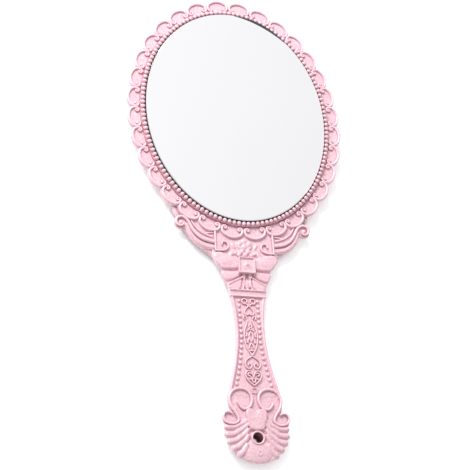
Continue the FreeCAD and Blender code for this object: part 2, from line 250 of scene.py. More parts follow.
def fuseRelief(bm, name, voxel, rounds, cutters=()):
    # melts overlapping shapes into one skin, as the mould makes them, then softens the joins; a
    # cutter is a round hole: its centre, its radius, and where it starts and ends in height
    mesh = bpy.data.meshes.new(name)
    bm.to_mesh(mesh)
    bm.free()
    piece = makeObject(name, mesh)
    remesh = piece.modifiers.new("fuse", "REMESH")
    remesh.mode = "VOXEL"
    remesh.voxel_size = voxel
    soften = piece.modifiers.new("soften", "SMOOTH")
    soften.factor = 0.5
    soften.iterations = rounds
    holes = []
    for x, y, radius, low, high in cutters:
        cutter = bmesh.new()
        addDisc(cutter, x, y, radius, low, high, segments=64)
        cutterMesh = bpy.data.meshes.new("cutter")
        cutter.to_mesh(cutterMesh)
        cutter.free()
        hole = makeObject("cutter", cutterMesh)
        drill = piece.modifiers.new("drill", "BOOLEAN")
        drill.operation = "DIFFERENCE"
        drill.solver = "EXACT"
        drill.object = hole
        holes.append(hole)
    done = withModifiers(name, mesh)
    for hole in holes:
        bpy.data.objects.remove(hole)
    return finish(done, name)


def hexColour(code):
    # an sRGB hex value as the linear colour that a shader takes
    parts = [int(code[k:k + 2], 16) / 255 for k in (1, 3, 5)]
    return [c / 12.92 if c <= 0.04045 else ((c + 0.055) / 1.055) ** 2.4 for c in parts] + [1.0]


def addNode(tree, kind, settings=None, inputs=None, links=None):
    node = tree.nodes.new(kind)
    for name, value in (settings or {}).items():
        setattr(node, name, value)
    for name, value in (inputs or {}).items():
        node.inputs[name].default_value = value
    for name, source in (links or {}).items():
        tree.links.new(source, node.inputs[name])
    return node


def newMaterial(name, **shader):
    material = bpy.data.materials.new(name)
    material.use_nodes = True
    tree = material.node_tree
    surface = tree.nodes["Principled BSDF"]
    for socket, value in shader.items():
        surface.inputs[socket.replace("_", " ")].default_value = value
    return material, tree, surface


def perMetre(millimetres):
    # a noise scale whose features are about this size
    return 1.0 / (millimetres * toMetres)


def mouldedStyrene(name="mouldedStyrene", base="#D3A9B3", shadeColour="#BF8692", pale="#F0D0D7", shadeReach=1.1):
    # Pink high-impact styrene, injection moulded. The tool's coarse blast leaves a pebbled satin
    # skin, and flow lines and handling vary the tone. Recesses narrower than the shade reach get
    # the shade colour mixed in, as painted shade from ambient occlusion. The pebble is drawn about
    # twice its real size, so that it shows.
    settings = {"flow": 18.0, "pebble": 0.9, "relief": 0.2, "fleck": (0.4, 0.66), "shade": (0.25, 0.85),
                "gloss": (0.24, 0.38), "bump": 0.5}
    material, tree, surface = newMaterial(name, IOR=1.55)
    place = addNode(tree, "ShaderNodeTexCoord").outputs["Object"]
    flow = addNode(tree, "ShaderNodeTexNoise", inputs={"Scale": perMetre(settings["flow"]), "Detail": 3.0},
                   links={"Vector": place})
    pebble = addNode(tree, "ShaderNodeTexNoise", links={"Vector": place},
                     inputs={"Scale": perMetre(settings["pebble"]), "Detail": 3.0})
    fleck = addNode(tree, "ShaderNodeMapRange", inputs=dict(zip(("From Min", "From Max"), settings["fleck"])),
                    links={"Value": pebble.outputs["Fac"]})
    share = addNode(tree, "ShaderNodeMath", {"operation": "MULTIPLY"},
                    links={0: fleck.outputs["Result"], 1: flow.outputs["Fac"]})
    tone = addNode(tree, "ShaderNodeMix", {"data_type": "RGBA"}, {"A": hexColour(base), "B": hexColour(pale)},
                   {"Factor": share.outputs["Value"]})
    # painted shade: ambient occlusion mixes the shade colour into the recesses
    occlusionShade = addNode(tree, "ShaderNodeAmbientOcclusion", {"samples": 8}, {"Distance": shadeReach * toMetres})
    depth = addNode(tree, "ShaderNodeMapRange", inputs=dict(zip(("From Min", "From Max"), settings["shade"])),
                    links={"Value": occlusionShade.outputs["AO"]})
    colour = addNode(tree, "ShaderNodeMix", {"data_type": "RGBA"}, {"A": hexColour(shadeColour)},
                     {"Factor": depth.outputs["Result"], "B": tone.outputs["Result"]})
    tree.links.new(colour.outputs["Result"], surface.inputs["Base Color"])
    gloss = addNode(tree, "ShaderNodeMapRange", inputs=dict(zip(("To Min", "To Max"), settings["gloss"])),
                    links={"Value": flow.outputs["Fac"]})
    tree.links.new(gloss.outputs["Result"], surface.inputs["Roughness"])
    relief = {"Strength": settings["bump"], "Distance": settings["relief"] * toMetres}
    bump = addNode(tree, "ShaderNodeBump", inputs=relief, links={"Height": pebble.outputs["Fac"]})
    tree.links.new(bump.outputs["Normal"], surface.inputs["Normal"])
    return material


def silveredGlass():
    # 2 mm float glass, silvered on the back: a clear polished face over a bright, neutral mirror
    material, tree, surface = newMaterial("silveredGlass", Metallic=1.0, Roughness=0.012, Coat_Weight=1.0,
                                          Coat_Roughness=0.0, Coat_IOR=1.52)
    place = addNode(tree, "ShaderNodeTexCoord").outputs["Object"]
    wave = addNode(tree, "ShaderNodeTexNoise", inputs={"Scale": perMetre(60.0)}, links={"Vector": place})
    tint = addNode(tree, "ShaderNodeMix", {"data_type": "RGBA"},
                   {"A": hexColour("#FBFBFB"), "B": hexColour("#F8F8F9")}, {"Factor": wave.outputs["Fac"]})
    tree.links.new(tint.outputs["Result"], surface.inputs["Base Color"])
    return material


def silvering():
    # chemically deposited silver behind the glass: bright, neutral and almost without haze
    material, tree, surface = newMaterial("silvering", Metallic=1.0, Roughness=0.015)
    place = addNode(tree, "ShaderNodeTexCoord").outputs["Object"]
    cloud = addNode(tree, "ShaderNodeTexNoise", inputs={"Scale": perMetre(35.0)}, links={"Vector": place})
    tint = addNode(tree, "ShaderNodeMix", {"data_type": "RGBA"},
                   {"A": hexColour("#FAFAFC"), "B": hexColour("#F6F7F9")}, {"Factor": cloud.outputs["Fac"]})
    tree.links.new(tint.outputs["Result"], surface.inputs["Base Color"])
    return material


def backingPaint():
    # grey protective paint, sprayed on behind the silver: dull with a fine pebble
    material, tree, surface = newMaterial("backingPaint", Roughness=0.7)
    place = addNode(tree, "ShaderNodeTexCoord").outputs["Object"]
    pebble = addNode(tree, "ShaderNodeTexNoise", inputs={"Scale": perMetre(0.8)}, links={"Vector": place})
    tint = addNode(tree, "ShaderNodeMix", {"data_type": "RGBA"},
                   {"A": hexColour("#232428"), "B": hexColour("#2E3035")}, {"Factor": pebble.outputs["Fac"]})
    tree.links.new(tint.outputs["Result"], surface.inputs["Base Color"])
    bump = addNode(tree, "ShaderNodeBump", inputs={"Strength": 0.3, "Distance": 0.05 * toMetres},
                   links={"Height": pebble.outputs["Fac"]})
    tree.links.new(bump.outputs["Normal"], surface.inputs["Normal"])
    return material


def foamTape():
    # white closed-cell foam tape: matt, with cells of about a third of a millimetre
    material, tree, surface = newMaterial("foamTape", Roughness=0.9)
    place = addNode(tree, "ShaderNodeTexCoord").outputs["Object"]
    cells = addNode(tree, "ShaderNodeTexVoronoi", inputs={"Scale": perMetre(0.35)}, links={"Vector": place})
    shades = {"A": hexColour("#E9E8E2"), "B": hexColour("#D2D1CA")}
    tint = addNode(tree, "ShaderNodeMix", {"data_type": "RGBA"}, shades,
                   {"Factor": cells.outputs["Distance"]})
    tree.links.new(tint.outputs["Result"], surface.inputs["Base Color"])
    return material


def paleFloor():
    # a sheet of white studio board, which glows a little so that it stays white under the mirror
    material, tree, surface = newMaterial("studioBoard", Roughness=0.85, Emission_Strength=0.3)
    place = addNode(tree, "ShaderNodeTexCoord").outputs["Object"]
    fibre = addNode(tree, "ShaderNodeTexNoise", inputs={"Scale": perMetre(40.0)}, links={"Vector": place})
    tint = addNode(tree, "ShaderNodeMix", {"data_type": "RGBA"},
                   {"A": hexColour("#FAFAFA"), "B": hexColour("#FDFDFD")}, {"Factor": fibre.outputs["Fac"]})
    tree.links.new(tint.outputs["Result"], surface.inputs["Base Color"])
    return material


# four finishes of one plastic: the ground, the back, the raised lines painted paler as a painted highlight,
# and the hole
styrene = mouldedStyrene()
# the back's copy: a dark mauve painted shade that reaches 7 mm, for the shade under the overhanging front
backStyrene = mouldedStyrene("backStyrene", shadeColour="#4C3A4B", shadeReach=7.0)
# the raised lines: a paler copy with less painted shade, as a painted highlight on the crests
crestStyrene = mouldedStyrene("crestStyrene", base="#DDB4BE", shadeColour="#C58D99", pale="#F2D4DA", shadeReach=0.4)
# the hole's copy: dark all over, as painted shade inside the hanging hole
shadedStyrene = mouldedStyrene("shadedStyrene", base="#7E4A50", shadeColour="#5A3035", pale="#8A555B")
nodeFinishes = {"mirror_glass": silveredGlass(), "silver_coat": silvering(), "backing_paint": backingPaint(),
                "adhesive_pads": foamTape(), "back_shell": backStyrene, "front_shell": styrene,
                "bead_ring": crestStyrene}
for node, material in nodeFinishes.items():
    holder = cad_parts[node]
    for slot in holder.material_slots:
        slot.material = material
print("materials ready")


def keep(piece, *nodes, slot, material=None):
    # rides on the one body, takes its finish, and stands for the CAD nodes named
    piece.data.materials.append(material or styrene)
    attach(piece, "root")
    if nodes:
        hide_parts(*nodes)


head = {"field": 5.85, "crest": 6.9, "lobes": 32, "lobeCentres": (49.2, 61.2), "lobeSize": 7.8,
        "lobeSpread": 70, "lobeStep": 0.05, "bevel": 0.5, "inner": 2.5, "ring": (3.6, 4.0), "rimReach": 6.95,
        "rimSize": 0.74, "curlSize": 0.42, "knobAt": (2.45, 4.05), "knobRise": 0.35, "knob": (0.6, 0.6, 0.7),
        "voxel": 0.3, "rounds": 1}


def onLobe(lobe, places):
    # local places on a lobe, (outward, sideways), as points in plan
    x, y, outward = lobe
    c, s = math.cos(math.radians(outward)), math.sin(math.radians(outward))
    return [(x + o * c - t * s, y + o * s + t * c) for o, t in places]


def lobeRim():
    # half of a lobe's rim: from its middle over the shoulder into the small scroll in the valley
    middle = [polar((0, 0), head["rimReach"], turn) for turn in (0, 12, 24, 35)]
    return middle + [(4.9, 4.85), (4.1, 5.15), (3.1, 5.3), (2.0, 5.0), (1.4, 4.2), (1.65, 3.3), (2.5, 2.95),
                     (3.2, 3.4), (3.1, 4.1)]


def rimWidths(count):
    # full over the lobe and thinner in the two scrolls, which have seven points each
    spread = [min(k, count - 1 - k) / 7 for k in range(count)]
    return [head["curlSize"] + (head["rimSize"] - head["curlSize"]) * min(1.0, part) for part in spread]


def headLobes():
    return alongOval(*head["lobeCentres"], head["lobes"], 0.5)


def scallopedBorder():
    # the soft ground of the head: lobed plate, inner band and the wings
    bm = bmesh.new()
    inner = (glassHalf.x + head["inner"], glassHalf.y + head["inner"])
    addOvalRing(bm, inner, (inner[0] + head["ring"][0], inner[1] + head["ring"][1]), jointZ, head["field"])
    spread = range(-head["lobeSpread"], head["lobeSpread"] + 1, 10)
    arc = [polar((0, 0), head["lobeSize"], turn) for turn in spread]
    high = head["field"] + head["lobeStep"]
    for lobe in headLobes():
        addPlate(bm, onLobe(lobe, arc), jointZ, high, bevel=head["bevel"], smooth=False)
    addWings(bm)
    return fuseRelief(bm, "scalloped_border", head["voxel"], head["rounds"])


def borderScrolls():
    # the crisp raised line that runs over every lobe and curls up in the valleys
    bm = bmesh.new()
    ridges = []
    for lobe in headLobes():
        half = lobeRim()
        whole = [(o, -t) for o, t in reversed(half[1:])] + half
        widths = rimWidths(len(whole))
        ridges.append((onLobe(lobe, whole), widths, head["crest"]))
        for side in (-1, 1):
            (x, y), = onLobe(lobe, [(head["knobAt"][0], head["knobAt"][1] * side)])
            addBlob(bm, x, y, head["field"] + head["knobRise"], head["knob"], segments=8)
    addRidges(bm, ridges, sides=2)
    return meshPiece(bm, "border_scrolls")


def bothSides(lines):
    # ridge lines together with their mirror images
    return lines + [(mirrorX(points), radius, top) for points, radius, top in lines]


wings = {"ground": 5.4, "bevel": 0.4, "eye": (31.8, -61.5), "eyeSize": (3.5, 3.3), "eyeTop": 5.5,
         "seed": (1.1, 1.1, 0.7), "roll": (1.2, 1.9), "rollTop": 6.15, "curl": (0.58, 0.84), "curlTop": 6.85,
         "inside": (0.36, 0.62), "fan": (0.35, 0.6), "insideTop": 6.2}


def addWings(bm):
    # the two leaf scrolls that carry the head on the neck: their ground and their broad lower rolls
    wing = [(6, -61), (20, -57.5), (27.4, -56.5), (29.6, -59), (29.0, -63.5), (27, -69), (23, -73.4),
            (17.5, -75.4), (8, -75.4)]
    for outline in (wing, mirrorX(wing)):
        addPlate(bm, outline, jointZ, wings["ground"], bevel=wings["bevel"])
    x, y = wings["eye"]
    wide, narrow = wings["eyeSize"]
    for side in (x, -x):
        addDisc(bm, side, y, wide, jointZ, wings["eyeTop"], topRadius=narrow)
    roll = [(28.8, -62.0), (27.9, -65.2), (26.2, -68.4), (23.2, -71.5), (19.2, -73.2), (15.2, -73.6)]
    addRidges(bm, bothSides([(roll, wings["roll"], wings["rollTop"])]))


def wingScrolls():
    # the ring, the long S and the small fan on each wing
    x, y = wings["eye"]
    curl = spiral((x, y), (1.7, 3.1), (-150, 120), 10)
    curl += [(28.4, -60.2), (27.2, -62.9), (25.6, -65.9), (23.2, -68.6), (19.8, -70.4), (15.2, -71.0)]
    inside = [(27.4, -58.0), (26.0, -61.6), (23.6, -64.8), (20.0, -67.2), (16.2, -68.2)]
    fan = [[(15.6, -64.5), (17.4, -64.1), (19.6, -64.7)], [(15.6, -66.1), (17.4, -66.0), (19.8, -66.6)]]
    lines = [(curl, wings["curl"], wings["curlTop"]), (inside, wings["inside"], wings["insideTop"])]
    lines += [(line, wings["fan"], wings["insideTop"]) for line in fan]
    bm = bmesh.new()
    addRidges(bm, bothSides(lines))
    for side in (x, -x):
        addBlob(bm, side, y, wings["eyeTop"], wings["seed"], segments=14)
    return meshPiece(bm, "wing_scrolls")


keep(scallopedBorder(), "front_shell", slot="front_shell")
keep(borderScrolls(), "front_shell", slot="front_shell", material=crestStyrene)
keep(wingScrolls(), "front_shell", slot="front_shell", material=crestStyrene)

neck = {"field": 5.5, "bevel": 0.4, "voxel": 0.27, "rounds": 2, "pillow": (10.2, -80.7, 6.3),
        "pillowSize": (5.4, 3.4, 0.95), "crown": 6.2, "berryZ": 5.85, "berryHigh": 0.85, "leafZ": 5.5,
        "band": 6.3, "bandTop": -95.5, "bandFoot": -99.0}


def addBow(bm):
    # a tied ribbon: two broad loops, two smaller ones below them and a leaf on each side of the
    # tassel; a puff is an outline, its height and its rounding
    puffs = [([(4.0, -79.4), (7.0, -78.7), (10.2, -76.6), (14.6, -75.7), (17.1, -78.2), (15.6, -81.8),
               (12.6, -85.2), (8.0, -85.1), (4.0, -84.8)], 6.9, 1.15),
             ([(3.2, -85.5), (8.0, -85.9), (12.8, -86.0), (12.6, -88.0), (11.0, -91.4), (7.2, -90.4),
               (3.0, -88.2)], 6.5, 1.0),
             ([(2.4, -89.2), (5.6, -90.7), (9.9, -93.2), (9.2, -95.2), (5.7, -95.7), (3.0, -94.8),
               (2.5, -91.6)], 6.25, 0.9)]
    folds = [([(4.6, -80.2), (8.0, -79.9), (11.0, -78.3), (14.2, -77.5)], (0.6, 1.0), 7.0),
             ([(4.6, -82.4), (8.6, -82.6), (12.6, -81.2)], (0.6, 1.1), 6.85),
             ([(3.8, -86.6), (7.6, -87.4), (11.0, -88.2)], (0.6, 1.0), 6.6),
             ([(2.2, -88.9), (5.6, -90.4), (9.6, -92.9)], (0.45, 0.4), 6.75)]
    for outline, high, bevel in puffs:
        for side in (outline, mirrorX(outline)):
            addPlate(bm, side, jointZ, high, bevel=bevel)
    addRidges(bm, bothSides(folds))
    x, y, z = neck["pillow"]
    for side in (x, -x):
        addBlob(bm, side, y, z, neck["pillowSize"], segments=32)
    tassel = [(0.9, -88.0), (1.7, -89.8), (1.5, -92.4), (2.3, -95.2)]
    swirl = spiral((1.7, -88.4), (0.95, 0.45), (140, -120), 6)
    addRidges(bm, bothSides([(tassel, 0.42, 6.8), (swirl, 0.38, 6.8)]))
    addBlob(bm, 0, -92.6, 5.7, (1.5, 3.0, 0.9))


def addPalmette(bm):
    # a crown of petals over a cluster of berries, with two small leaves on each side
    crown = [(0, -67.8), (2.8, -68.9), (4.4, -71.2), (3.6, -73.6), (1.6, -74.6)]
    addPlate(bm, crown[:1] + bothHalves(crown[1:]), jointZ, neck["crown"], bevel=0.7)
    berries = [(0, -69.6, 1.5), (0, -72.4, 1.5), (0, -76.8, 1.2), (2.4, -70.9, 1.4), (1.6, -75.2, 1.25),
               (3.2, -77.0, 1.1), (4.9, -76.2, 0.9)]
    for x, y, radius in berries:
        for side in ((1, -1) if x else (1,)):
            addBlob(bm, x * side, y, neck["berryZ"], (radius, radius, neck["berryHigh"]))
    for side in (1, -1):
        addBlob(bm, 5.7 * side, -72.2, neck["leafZ"], (0.8, 1.8, 0.6), turn=-20 * side)
        addBlob(bm, 6.9 * side, -76.4, neck["leafZ"], (1.1, 2.0, 0.7), turn=35 * side)


def addNeck(bm):
    # the flat ground of the neck with what stands on it, down to the band that ends it
    side = [(17.0, -62.5), (16.6, -75.2), (16.9, -78.5), (15.2, -81.8), (12.4, -85.2), (12.4, -87.2),
            (11.0, -91.2), (9.8, -93.2), (9.4, -95.8), (9.2, -98.6)]
    outline = [(0, -61), (10, -61)] + bothHalves(side) + [(-10, -61)]
    addPlate(bm, outline, jointZ, neck["field"], bevel=neck["bevel"])
    addPalmette(bm)
    addBow(bm)
    addJewel(bm)
    band = bothHalves([(9.4, neck["bandTop"]), (9.2, neck["bandFoot"])])
    addPlate(bm, band, jointZ, neck["band"], bevel=0.3, smooth=False)
    addRidges(bm, [([(-9.3, -95.7), (0, -95.7), (9.3, -95.7)], 0.5, 7.1),
                   ([(-9.0, -98.7), (0, -98.7), (9.0, -98.7)], 0.35, 6.6)])


def addJewel(bm):
    # a square stone in a stepped frame
    jewel = {"y": -83.0, "half": 4.2, "frame": 0.93, "high": 7.9, "frameSize": 0.42, "frameRise": 0.5}
    half = jewel["half"]
    outline = [(-half, -half), (half, -half), (half, half), (-half, half)]
    square = [(x, y + jewel["y"]) for x, y in outline]
    addPlate(bm, square, jointZ, jewel["high"] - 0.3, bevel=0.25, smooth=False)
    small = [(x * jewel["frame"], y * jewel["frame"] + jewel["y"]) for x, y in outline]
    for (x0, y0), (x1, y1) in zip(small, small[1:] + small[:1]):
        line = [(x0, y0), ((x0 + x1) / 2, (y0 + y1) / 2), (x1, y1)]
        addRidges(bm, [(line, jewel["frameSize"], jewel["high"] + jewel["frameRise"])])
    addBlob(bm, 0, jewel["y"], jewel["high"] - 0.4, (2.2, 2.0, 0.45))
    addBlob(bm, 0, jewel["y"] + 0.2, jewel["high"] + 0.05, (0.7, 0.7, 0.7))


gripForm = {"field": 5.35, "bevel": 0.4, "rim": 6.3, "rimSize": 0.8, "rimInset": 0.95, "waist": -120,
            "swell": (5.0, 30.0, 0.45), "swellDrop": 0.2, "pearls": 17, "pearlTop": -101.0,
            "pearlPitch": 2.65, "pearlX": 4.7, "pearlFlare": 3.9, "pearlRun": 23.4, "pearlSize": 0.88,
            "pearlRise": 0.12}
gripSide = [(9.3, -97), (8.6, -101), (7.75, -107), (7.35, -114.5), (7.65, -122), (8.75, -130), (10.4, -138),
            (12.6, -146), (13.4, -149.5)]


def addGrip(bm):
    # the flared grip: its ground, a raised rim along each side and a faint swell down the middle
    addPlate(bm, bothHalves(gripSide), jointZ, gripForm["field"], bevel=gripForm["bevel"])
    rim = [(x - gripForm["rimInset"], y) for x, y in gripSide]
    addRidges(bm, bothSides([(rim, gripForm["rimSize"], gripForm["rim"])]))
    z = gripForm["field"] - gripForm["swellDrop"]
    addBlob(bm, 0, gripForm["waist"], z, gripForm["swell"], segments=32)


def pearlRows():
    # two rows of pearls that follow the flare of the grip
    spots = []
    for k in range(gripForm["pearls"]):
        y = gripForm["pearlTop"] - k * gripForm["pearlPitch"]
        flare = max(0.0, (gripForm["waist"] - y) / gripForm["pearlRun"]) ** 1.6
        x = gripForm["pearlX"] + gripForm["pearlFlare"] * flare
        spots += [(x, y), (-x, y)]
    return spots


foot = {"field": 5.2, "bevel": 0.4, "hole": (0.0, -169.6, 2.5), "crest": 6.35, "lobe": (0.8, 0.95, 0.9),
        "apron": (7.0, 5.9, 1.0), "apronY": -176.0, "boss": 6.95, "bossBevel": 0.85, "collar": (3.4, 3.3),
        "collarTop": 6.15, "cut": (-1.0, 9.0)}


def addFoot(bm):
    # a broad fan of soft flutes that run from the boss to the scalloped edge
    side = [(12.6, -145), (14.0, -150.5), (13.2, -155), (12.6, -157.2), (15.6, -156.8), (17.0, -159.6),
            (16.2, -162.6), (15.5, -165.4), (15.3, -169), (14.0, -172.6), (11.5, -176.2), (7.8, -179.8),
            (3, -181.7)]
    addPlate(bm, bothHalves(side), jointZ, foot["field"], bevel=foot["bevel"])
    flutes = [([(15.0, -164.7), (11.6, -165.3), (8.4, -163.4), (6.2, -162.6), (4.2, -160.6)], (1.5, 1.1)),
              ([(14.9, -168.2), (11.4, -168.4), (8.6, -166.2), (6.6, -165.3), (4.2, -162.8)], (1.6, 1.15)),
              ([(13.8, -171.6), (10.6, -171.4), (8.2, -169.2), (6.2, -168.0), (4.0, -165.2)], (1.65, 1.15)),
              ([(11.8, -174.8), (9.4, -174.1), (7.2, -171.8), (5.6, -170.8), (4.4, -168.0)], (1.75, 1.15)),
              ([(8.9, -177.7), (7.4, -176.4), (6.0, -174.0), (5.0, -172.6)], (1.85, 1.15))]
    addRidges(bm, bothSides([(points, radius, foot["crest"]) for points, radius in flutes]))
    for points, (radius, _) in flutes:
        x, y = points[0]
        for side in (x, -x):
            addBlob(bm, side, y, foot["crest"] - radius, [radius * part for part in foot["lobe"]])
    addBlob(bm, 0, foot["apronY"], foot["field"], foot["apron"], segments=32)
    boss = [(0, -157.9), (1.0, -156.2), (2.8, -155.2), (4.9, -155.8), (5.5, -158.0), (4.9, -160.6),
            (4.0, -163), (3.8, -165.2), (2.0, -166.2)]
    addPlate(bm, boss[:1] + bothHalves(boss[1:]), jointZ, foot["boss"], bevel=foot["bossBevel"])
    wide, narrow = foot["collar"]
    addDisc(bm, 0, foot["hole"][1], wide, jointZ, foot["collarTop"], topRadius=narrow)


def footScrolls():
    # on each side one raised line: the great spiral, down the edge and round the ear; between
    # them a collar round the hole and a small dimple ring below it
    line = [(8.7, -152.4), (7.8, -154.7), (5.6, -156.0), (2.8, -154.8), (1.4, -151.3), (2.0, -147.9),
            (4.6, -145.8), (7.6, -145.4), (10.8, -146.5), (12.8, -149.4), (12.9, -152.4), (11.7, -155.4),
            (9.8, -158), (8.5, -160.6), (9.4, -162.6), (12.4, -163.4), (15.5, -162.2), (16.5, -159.8),
            (15.4, -157.6), (13.1, -157.2), (11.5, -158.3)]
    widths = [0.5, 0.6, 0.68] + [0.74] * 8 + [0.68] * 3 + [0.58] * 4 + [0.52, 0.46, 0.4]
    hole = foot["hole"]
    collar = [polar(hole[:2], 3.0, turn) for turn in range(0, 361, 20)]
    dimple = [polar((0.4, -177.0), 1.1, turn) for turn in range(0, 361, 30)]
    bm = bmesh.new()
    addRidges(bm, bothSides([(line, widths, 6.5)]) + [(collar, 0.45, 6.6), (dimple, 0.32, 6.45)])
    return meshPiece(bm, "foot_scrolls")


def holeSleeve():
    # the wall of the hanging hole, with a thin lip near its foot; both take the dark copy of the plastic, as
    # painted shade inside the hole
    sleeve = {"thick": 0.1, "low": 0.05, "high": 6.0, "lip": 1.2, "lipHigh": 0.5}
    x, y, radius = foot["hole"]
    bm = bmesh.new()
    rings = [(radius - sleeve["lip"], radius, sleeve["lipHigh"]),
             (radius - sleeve["thick"], radius + sleeve["thick"], sleeve["high"])]
    for inner, outer, high in rings:
        addOvalRing(bm, (inner, inner), (outer, outer), sleeve["low"], high, segments=48)
    bmesh.ops.translate(bm, vec=(x, y, 0), verts=bm.verts)
    return meshPiece(bm, "hole_sleeve")


def neckTracery():
    # the two square brackets under the head
    bracket = [(14.8, -65.0), (14.9, -70), (14.95, -74.6), (14.95, -75.2), (14.3, -75.3), (11.4, -75.3),
               (9.0, -74.5), (8.2, -72.6), (8.9, -70.8), (10.5, -70.2), (11.8, -71.0), (11.6, -72.3)]
    bm = bmesh.new()
    addRidges(bm, bothSides([(bracket, (0.52, 0.42), 6.7)]))
    return meshPiece(bm, "neck_tracery")


def handleFront():
    # neck, grip and foot melted into one skin, with the hanging hole cut through
    bm = bmesh.new()
    addNeck(bm)
    addGrip(bm)
    addFoot(bm)
    x, y, radius = foot["hole"]
    drill = (x, y, radius, *foot["cut"])
    return fuseRelief(bm, "handle_front", neck["voxel"], neck["rounds"], cutters=[drill])


keep(handleFront(), "front_shell", slot="front_shell")
keep(footScrolls(), "front_shell", slot="front_shell", material=crestStyrene)
keep(neckTracery(), "front_shell", slot="front_shell", material=crestStyrene)
keep(holeSleeve(), slot="front_shell", material=shadedStyrene)


filigree = {"top": 6.35, "line": 0.36, "markTop": 6.1, "markLine": 0.22}


def handleFiligree():
    # raised tracery on the middle of the grip; each line is drawn on the right and mirrored
    loop = spiral((2.1, -101.3), (1.35, 1.35), (210, -120), 10) + [(0.6, -103.2), (0, -103.9)]
    heart = [(0, -103.5), (1.5, -105), (2.5, -106.6), (2.1, -108.2), (0.9, -108.4), (0, -107.7)]
    hook = [(1.5, -110.4), (1.6, -109.3), (2.5, -108.8), (3.3, -109.6), (2.7, -110.6)]
    lozenge = [(1.2, -110.8), (1.7, -113), (2.9, -115.7), (3.4, -118.6), (3.1, -122.6), (1.9, -126.4),
               (0, -129)]
    bead = spiral((0, -114.1), (0.75, 0.75), (-90, 90), 6)
    stem = [(0.4, -115), (1.0, -115.7), (1.5, -116.6)]
    cross = [(0, -115.9), (0.7, -116), (1.4, -115.6)]
    spear = [(0, -116.8), (0.95, -118.4), (1.0, -120), (0, -122.2)]
    twig = [(1.1, -120.2), (1.8, -121.6), (1.5, -123), (2.3, -122.3)]
    bud = [(2.4, -117.4), (1.9, -118.6), (2.5, -119.6)]
    arch = [(0, -122.6), (1.0, -124), (1.2, -125.7), (2.1, -125.2)]
    bar = [(0, -126.6), (0.9, -126.5), (1.7, -126.3)]
    ogee = [(0, -129.2), (1.7, -130.3), (3.5, -131.6), (3.9, -133.7), (3.0, -135.6), (1.2, -135.8),
            (0.6, -134.3), (1.1, -133), (2.2, -133), (2.3, -134.1)]
    lobe = [(0, -139.9), (0.6, -137.4), (2.2, -136.4), (3.8, -137.5), (4.0, -139.6), (2.6, -142), (0, -144)]
    inner = spiral((2.1, -138.7), (1.1, 0.5), (160, -130), 8)
    diamond = [(0.2, -140.2), (1.3, -141.3), (0.3, -142.6)]
    link = [(2.9, -140.7), (1.4, -141.2), (0.6, -140.6)]
    mark = [(0, -145.2), (1.1, -145.2), (1.2, -145.2), (1.2, -147.6), (1.1, -147.6), (0, -147.6)]
    drawn = [loop, heart, hook, lozenge, bead, stem, cross, spear, twig, bud, arch, bar, ogee, lobe, inner,
             diamond, link]
    lines = [(line, filigree["line"], filigree["top"]) for line in drawn]
    lines.append((mark, filigree["markLine"], filigree["markTop"]))
    bm = bmesh.new()
    addRidges(bm, bothSides(lines))
    return meshPiece(bm, "handle_filigree")


def handlePearls():
    bm = bmesh.new()
    size = gripForm["pearlSize"]
    z = gripForm["field"] + gripForm["pearlRise"]
    for x, y in pearlRows():
        addBlob(bm, x, y, z, (size, size * 1.1, size * 0.95), segments=14)
    return meshPiece(bm, "handle_pearls")


def beadRing():
    # the band with its beads, each a little longer across the band than along it
    beads = {"count": 140, "line": (48.7, 60.7), "size": (1.3, 1.2, 1.2), "band": 1.18, "inside": 0.35,
             "sunk": 1.5}
    bm = bmesh.new()
    halfX, halfY = beads["line"]
    inner = (halfX - beads["inside"], halfY - beads["inside"])
    outer = (halfX + beads["band"], halfY + beads["band"])
    addOvalRing(bm, inner, outer, beadLow.z, beadHigh.z - beads["sunk"])
    for x, y, outward in alongOval(halfX, halfY, beads["count"]):
        addBlob(bm, x, y, beadHigh.z - beads["size"][2], beads["size"], turn=outward, segments=10)
    return meshPiece(bm, "bead_trim")


def mirrorPlate():
    # the silvered glass, with its top edge ground to a narrow bevel
    plate = {"bevel": 0.35, "segments": 256}
    bm = bmesh.new()
    place = Matrix.Translation((0, 0, glassLow.z)) @ Matrix.Diagonal((glassHalf.x, glassHalf.y, 1, 1))
    bmesh.ops.create_circle(bm, cap_ends=True, segments=plate["segments"], radius=1.0, matrix=place)
    raised = bmesh.ops.extrude_face_region(bm, geom=bm.faces[:], use_keep_orig=True)["geom"]
    up = [v for v in raised if isinstance(v, bmesh.types.BMVert)]
    bmesh.ops.translate(bm, vec=(0, 0, glassHigh.z - glassLow.z), verts=up)
    rim = [edge for edge in bm.edges if all(v in up for v in edge.verts)]
    bmesh.ops.bevel(bm, geom=rim, offset=plate["bevel"], affect="EDGES", segments=1, profile=0.5, material=-1)
    return meshPiece(bm, "mirror_plate", smooth=False)


def edgeSeal():
    # the dark sealing paint on the edge of the glass, and a dark band that fills the groove between glass and
    # beads
    seal = {"gap": 0.01, "thick": 0.12, "below": 0.65, "groove": 1.15, "grooveTop": 7.2}
    bm = bmesh.new()
    inner = (glassHalf.x + seal["gap"], glassHalf.y + seal["gap"])
    for wide, top in ((seal["thick"], glassHigh.z - seal["below"]), (seal["groove"], seal["grooveTop"])):
        addOvalRing(bm, inner, (inner[0] + wide, inner[1] + wide), padHigh.z, top)
    return meshPiece(bm, "edge_seal")


